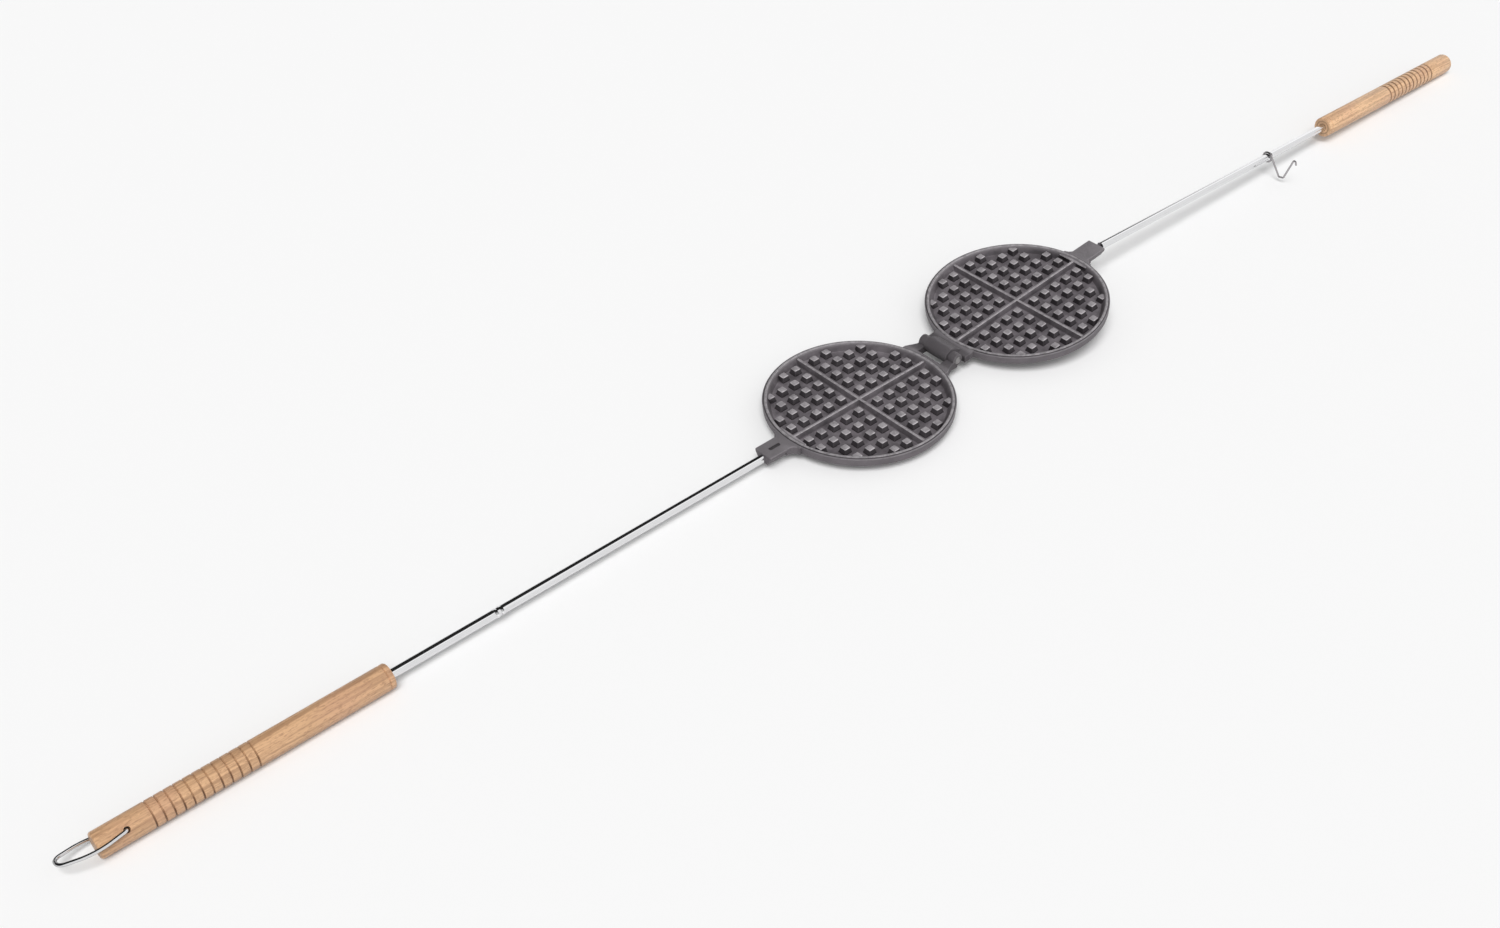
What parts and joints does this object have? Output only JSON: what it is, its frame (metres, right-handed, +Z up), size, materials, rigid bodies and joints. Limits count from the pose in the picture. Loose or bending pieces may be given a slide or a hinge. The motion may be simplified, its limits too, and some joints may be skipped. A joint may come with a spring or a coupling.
{
  "type": "long-handled waffle iron",
  "caption": "Long-handled cast iron waffle iron with two round hinged plates, steel rods, wooden handles, a wire latch hook and a hanging loop.",
  "frame": {"origin": "centre of the footprint on the surface that the open iron lies on", "axes": "+X along the iron towards the half that carries the latch hook, +Z up"},
  "size_m": [1.7546, 0.1798, 0.0371],
  "materials": {
    "cast_iron": "as cast, lightly worn on the raised faces",
    "chrome_rod": "bright plated",
    "bright_steel": "bright turned",
    "near_wood": "satin lacquered beech",
    "far_wood": "satin lacquered beech",
    "wire": "bright plated wire"
  },
  "bodies": {
    "near_half": {"near_plate": "cast_iron", "hinge_pin": "bright_steel", "near_rod": "chrome_rod", "near_rod_pin": "bright_steel", "near_handle": "near_wood"},
    "far_half": {"far_plate": "cast_iron", "far_rod": "chrome_rod", "far_rod_pin": "bright_steel", "far_handle": "far_wood"},
    "hook": {"latch_hook": "wire"},
    "loop": {"hanging_loop": "wire"}
  },
  "joints": [
    {"name": "lid_fold", "type": "hinge", "parent": "near_half", "child": "far_half", "pos_m": [0.01468, 0, 0.01765], "axis": [0, -1, 0], "range_deg": [0, 174.8]},
    {"name": "hook_swing", "type": "hinge", "parent": "far_half", "child": "hook", "pos_m": [0.52718, 0, 0.02252], "axis": [-0.9995, 0, 0.033], "range_deg": [-15, 195]},
    {"name": "loop_swing", "type": "hinge", "parent": "near_half", "child": "loop", "pos_m": [-0.82532, 0, 0.011], "axis": [0, 0.766, -0.6428], "range_deg": [-6, 155]}
  ]
}
